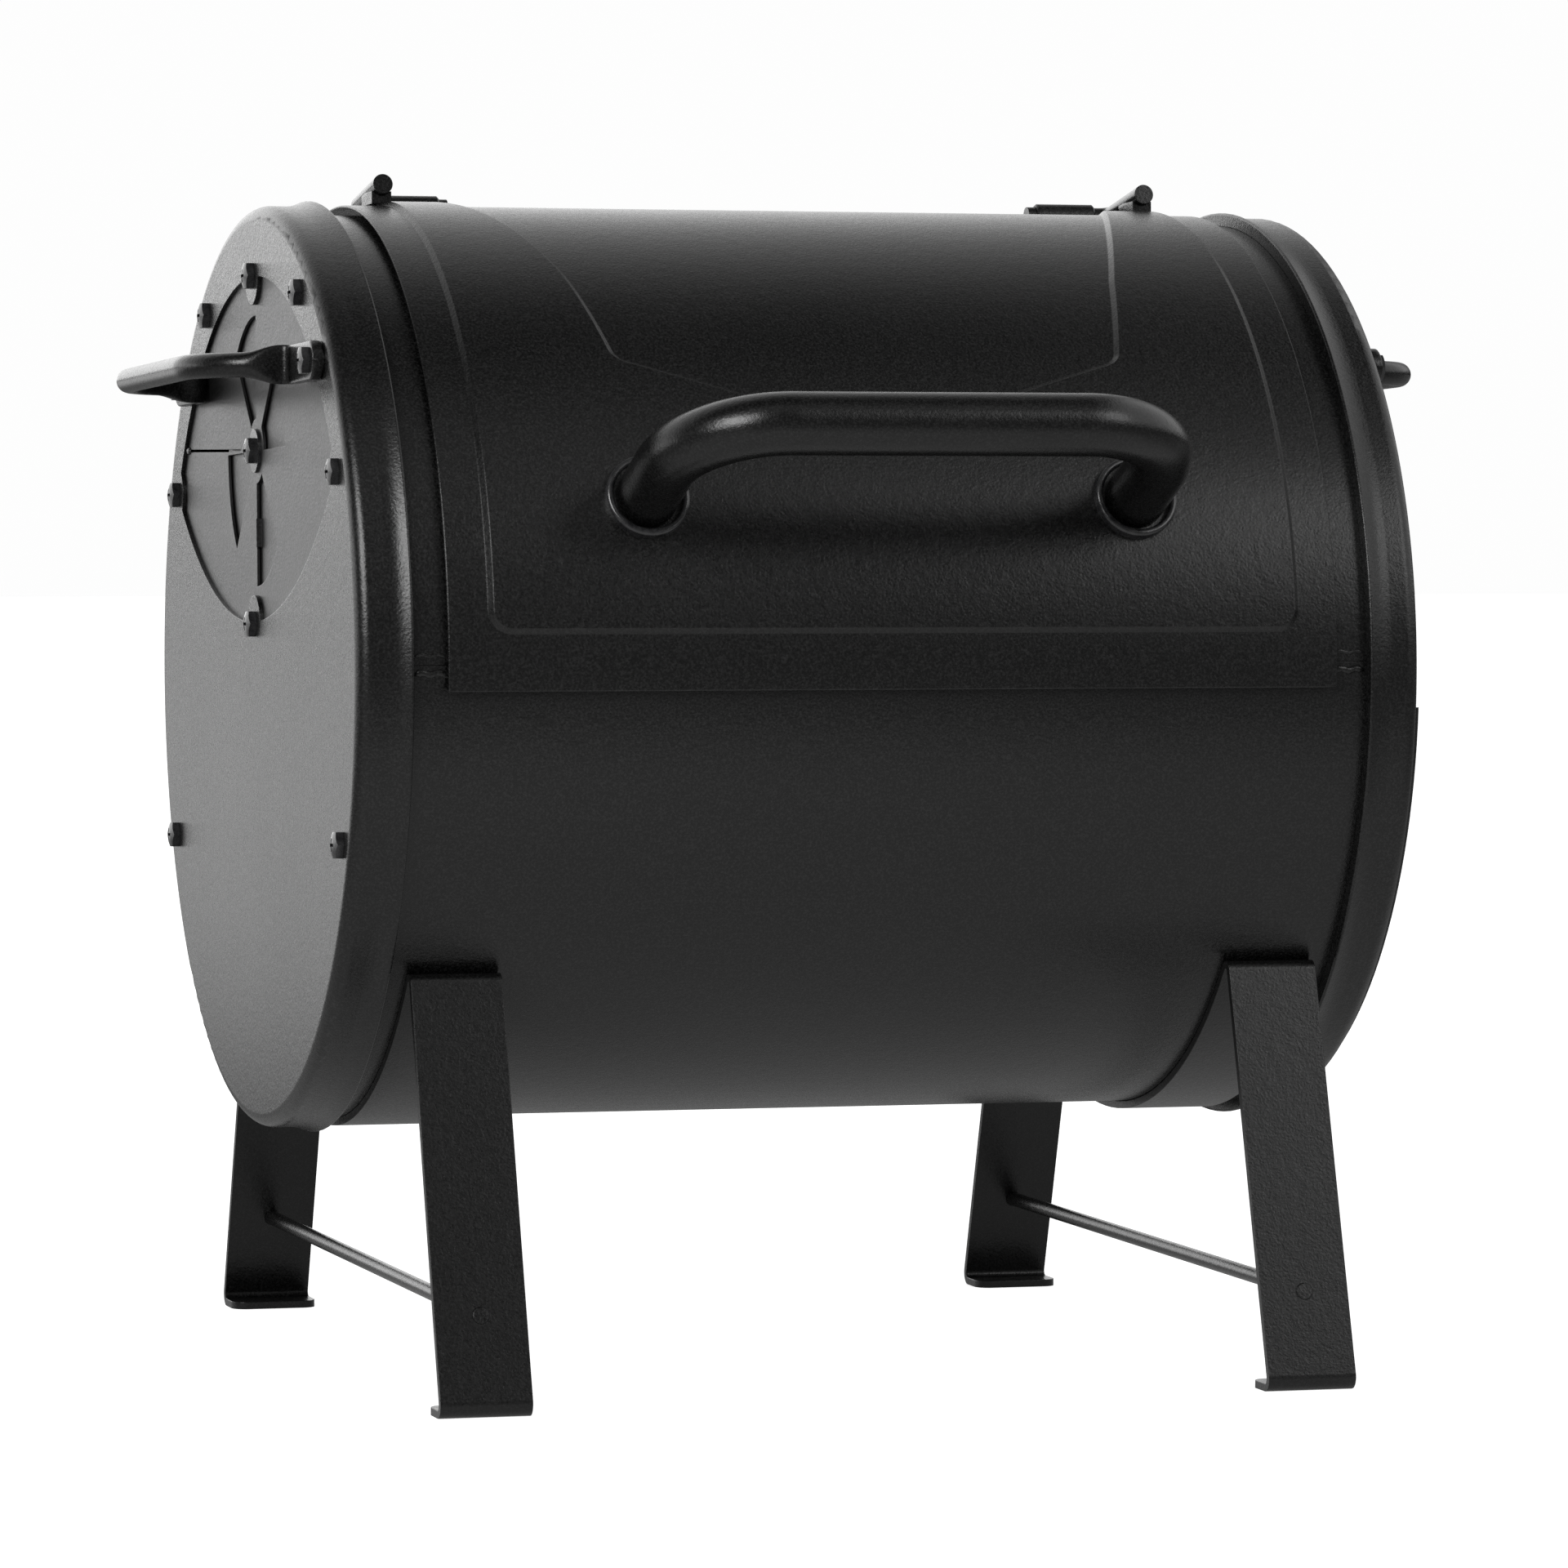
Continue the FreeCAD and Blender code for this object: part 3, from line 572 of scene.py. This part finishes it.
def bead(name, path, normals, radius, body, wobble, seed=0.0):
    """A weld bead laid along a path: rippled half-round, flattened onto the surface."""
    verts, faces = [], []
    for i, (p, n) in enumerate(zip(path, normals)):
        ahead = (path[min(i + 1, len(path) - 1)] - path[max(i - 1, 0)]).normalized()
        side = ahead.cross(n).normalized()
        end = min(i, len(path) - 1 - i)
        ripple = 1 + wobble * math.sin(2.1 * i + seed) * math.cos(0.7 * i + seed)
        swell = radius * min(1.0, BEAD_TIP + BEAD_GROWTH * end) * ripple
        for k in range(BEAD_RING):
            t = math.pi * k / (BEAD_RING - 1)
            rise = math.sin(t) * swell * BEAD_FLAT - BEAD_SUNK
            verts.append(p + side * (math.cos(t) * swell) + n * rise)
    for i in range(len(path) - 1):
        for k in range(BEAD_RING - 1):
            a = i * BEAD_RING + k
            faces.append([a, a + BEAD_RING, a + BEAD_RING + 1, a + 1])
    faces.append(list(range(BEAD_RING)))
    faces.append([(len(path) - 1) * BEAD_RING + k for k in reversed(range(BEAD_RING))])
    new_piece(name, verts, faces, COAT, body)


def seam_welds():
    """Short beads where each fixed band meets the shell at the front."""
    for side, tag in ((-1, "left"), (1, "right")):
        for a, r, level in SEAM_WELDS:
            xs = [side * (WELD_START + WELD_LENGTH * k / WELD_STEPS) for k in range(WELD_STEPS + 1)]
            path = [polar(x, DRUM_R, a + WELD_SWAY * math.sin(0.9 * k)) for k, x in enumerate(xs)]
            n = [direction(0, -math.cos(math.radians(a)), math.sin(math.radians(a)))] * len(path)
            bead(f"seam_weld_{tag}_{level}", path, n, r / 1000, "barrel", 0.2, a)


def port_tack():
    """A small tack weld at the upper rear edge of the port."""
    steps = range(TACK_POINTS)
    path = [place(*(v + d * k for v, d in zip(TACK_FROM, TACK_STEP))) for k in steps]
    bead("port_weld_tack", path, [Vector((-1, 0, 0))] * len(path), TACK_R, "barrel", 0.1)


# Stage, light and camera

# What the camera sees of the backdrop and the floor.
SEEN = 0.985
FLOOR_SEEN = 0.97

# Share of a half turn from the front horizon over the top to the back, and the light there.
ROOM = [(0.0, 0.20), (0.10, 0.10), (0.20, 0.16), (0.33, 0.36), (0.40, 0.14), (0.49, 0.01),
        (0.59, 0.14), (0.68, 0.49), (0.80, 0.78), (0.92, 1.60), (1.0, 1.75)]
# Changes to that light: less low at the back left, more at the back, and a pale wall at the right.
BACK_LEFT = -0.6
BACK_LIFT = 0.35
RIGHT_WALL = 0.95

# The floor in reflections: its colour, and its glow near the front, far away and at the back left.
FLOOR_DARK = 0.38
FLOOR_NEAR, FLOOR_FAR, FLOOR_BACK = 0.36, 0.0, 1.08
GLOW_AT = (0.0, -0.45, 0.0)
GLOW_FULL, GLOW_END = 0.2, 1.3
FLOOR_HALF = 14.0

# Softboxes: name, place, aim, width and height in metres, and power in watts.
SOFTBOXES = (
    ("left_softbox", (-1.45, -1.66, 1.33), (-0.2, -0.15, 0.33), 1.15, 1.1, 34),
    ("right_softbox", (1.25, -1.7, 1.45), (0.2, -0.15, 0.33), 0.8, 1.0, 5.5),
)


def calc(tree, kind, a, b):
    """A Math node on two outputs or numbers."""
    n = tree.nodes.new("ShaderNodeMath")
    n.operation = kind
    for socket, value in zip(n.inputs, (a, b)):
        if hasattr(value, "is_output"):
            tree.links.new(value, socket)
        else:
            socket.default_value = value
    return n.outputs[0]


def product(tree, *parts):
    """The product of several outputs or numbers."""
    result = parts[0]
    for part in parts[1:]:
        result = calc(tree, "MULTIPLY", result, part)
    return result


def fade(tree, value, zero, one, low=0.0, high=1.0):
    """A smooth step that is low where value is zero and high where value is one."""
    n = tree.nodes.new("ShaderNodeMapRange")
    n.interpolation_type = "SMOOTHSTEP"
    n.inputs["From Min"].default_value = zero
    n.inputs["From Max"].default_value = one
    n.inputs["To Min"].default_value = low
    n.inputs["To Max"].default_value = high
    tree.links.new(value, n.inputs["Value"])
    return n.outputs["Result"]


def split_xyz(tree, vector):
    n = tree.nodes.new("ShaderNodeSeparateXYZ")
    tree.links.new(vector, n.inputs[0])
    return (n.outputs[k] for k in "XYZ")


def camera_ray(tree):
    return tree.nodes.new("ShaderNodeLightPath").outputs["Is Camera Ray"]


def floor_glow(g):
    """The floor's glow in reflections: a pool in front of the grill and a patch at the back left."""
    t = g.tree
    reach = t.nodes.new("ShaderNodeVectorMath")
    reach.operation = "DISTANCE"
    reach.inputs[1].default_value = GLOW_AT
    g.link(g.coords, reach.inputs[0])
    near = fade(t, reach.outputs["Value"], GLOW_FULL, GLOW_END, FLOOR_NEAR, FLOOR_FAR)
    x, y, _ = split_xyz(t, g.coords)
    corner = product(t, fade(t, x, -0.3, -0.7), fade(t, y, 0.8, 1.8), FLOOR_BACK)
    return calc(t, "ADD", near, corner)


def floor():
    """The pale floor: almost white to the camera, darker with a graded glow in reflections."""
    g = Graph("pale_floor")
    seen = camera_ray(g.tree)
    tone = g.ramp(g.noise(3.0, 3.0), [(0.3, 0.80), (0.7, 0.83)])
    shade = g.ramp(seen, [(0.0, FLOOR_DARK), (1.0, 1.0)])
    g.put("Base Color", g.mix("MULTIPLY", tone, shade, 1.0))
    g.put("Emission Color", tone)
    glow = g.tree.nodes.new("ShaderNodeMapRange")
    glow.inputs["To Max"].default_value = FLOOR_SEEN
    g.link(seen, glow.inputs["Value"])
    g.link(floor_glow(g), glow.inputs["To Min"])
    g.put("Emission Strength", glow.outputs["Result"])
    g.put("Roughness", 0.85)
    g.put("Specular IOR Level", 0.1)
    mesh = bpy.data.meshes.new("floor")
    s = FLOOR_HALF
    mesh.from_pydata([(-s, -s, 0), (s, -s, 0), (s, s, 0), (-s, s, 0)], [], [[0, 1, 2, 3]])
    mesh.materials.append(g.mat)
    obj = bpy.data.objects.new("floor", mesh)
    bpy.context.scene.collection.objects.link(obj)


def room_light(t):
    """The room's brightness by direction (x right, y back, z up), as the grill reflects it."""
    coord = t.nodes.new("ShaderNodeTexCoord")
    x, y, z = split_xyz(t, coord.outputs["Generated"])
    turn = calc(t, "ARCTAN2", z, product(t, y, -1.0))
    ramp = t.nodes.new("ShaderNodeValToRGB")
    while len(ramp.color_ramp.elements) < len(ROOM):
        ramp.color_ramp.elements.new(0.5)
    for e, (at, v) in zip(ramp.color_ramp.elements, ROOM):
        e.position = at
        e.color = (v, v, v, 1)
    t.links.new(calc(t, "DIVIDE", turn, math.pi), ramp.inputs["Fac"])
    lift = product(t, fade(t, x, 0.22, -0.05), fade(t, y, 0.0, 0.4), BACK_LIFT)
    side = calc(t, "ADD", fade(t, x, 0.55, 0.24), lift)
    shaped = product(t, ramp.outputs["Color"], side)
    left = product(t, fade(t, x, -0.08, -0.32), fade(t, y, 0.2, 0.8), fade(t, z, 0.5, 0.0), BACK_LEFT)
    wall = product(t, fade(t, x, 0.36, 0.58), fade(t, z, 0.02, 0.20), fade(t, y, 0.90, 0.55), RIGHT_WALL)
    return calc(t, "ADD", calc(t, "ADD", shaped, left), wall)


def world():
    """The backdrop: almost white to the camera, and the graded room in reflections."""
    w = bpy.data.worlds.new("studio")
    bpy.context.scene.world = w
    w.use_nodes = True
    t = w.node_tree
    t.nodes.clear()
    out = t.nodes.new("ShaderNodeOutputWorld")
    seen = t.nodes.new("ShaderNodeBackground")
    seen.inputs["Color"].default_value = (SEEN, SEEN, SEEN, 1)
    room = t.nodes.new("ShaderNodeBackground")
    t.links.new(room_light(t), room.inputs["Color"])
    mix = t.nodes.new("ShaderNodeMixShader")
    t.links.new(camera_ray(t), mix.inputs["Fac"])
    t.links.new(room.outputs[0], mix.inputs[1])
    t.links.new(seen.outputs[0], mix.inputs[2])
    t.links.new(mix.outputs[0], out.inputs["Surface"])


def lights():
    """Two softboxes at the front, for the crisp edge highlights."""
    for name, at, target, width, height, power in SOFTBOXES:
        data = bpy.data.lights.new(name, "AREA")
        data.shape = "RECTANGLE"
        data.size = width
        data.size_y = height
        data.energy = power
        obj = bpy.data.objects.new(name, data)
        obj.visible_camera = False
        obj.location = at
        aim = Vector(target) - Vector(at)
        obj.rotation_euler = aim.to_track_quat("-Z", "Y").to_euler()
        bpy.context.scene.collection.objects.link(obj)


# The camera: turn in degrees in the barrel frame, place in metres, lens and sensor in mm.
CAMERA_TURN = (16.2165, -0.5235, -0.3707)
CAMERA_X, CAMERA_BACK, CAMERA_Z = -0.84865, -2.9394, 0.3702
LENS, SENSOR, CLIP_END = 172.86, 36.0, 60


def camera():
    """The camera. Its turn is about the vertical, then up, then about the line of sight."""
    yaw, pitch, roll = (math.radians(v) for v in CAMERA_TURN)
    look = Vector((math.sin(yaw) * math.cos(pitch), math.cos(yaw) * math.cos(pitch), math.sin(pitch)))
    right = Vector((math.cos(yaw), -math.sin(yaw), 0))
    up = right.cross(look)
    side = right * math.cos(roll) + up * math.sin(roll)
    top = up * math.cos(roll) - right * math.sin(roll)
    rows = [direction(*v) for v in (side, top, -look)]
    data = bpy.data.cameras.new("camera")
    data.lens = LENS
    data.sensor_width = SENSOR
    data.clip_end = CLIP_END
    obj = bpy.data.objects.new("camera", data)
    at = Vector((CAMERA_X, AXIS.y + CAMERA_BACK, CAMERA_Z))
    obj.matrix_world = Matrix.Translation(at) @ Matrix(rows).transposed().to_4x4()
    bpy.context.scene.collection.objects.link(obj)
    bpy.context.scene.camera = obj


paint_nodes()
hood_piece()
grips()
seam_welds()
port_tack()
floor()
world()
lights()
camera()
bpy.context.scene.view_settings.view_transform = "Standard"
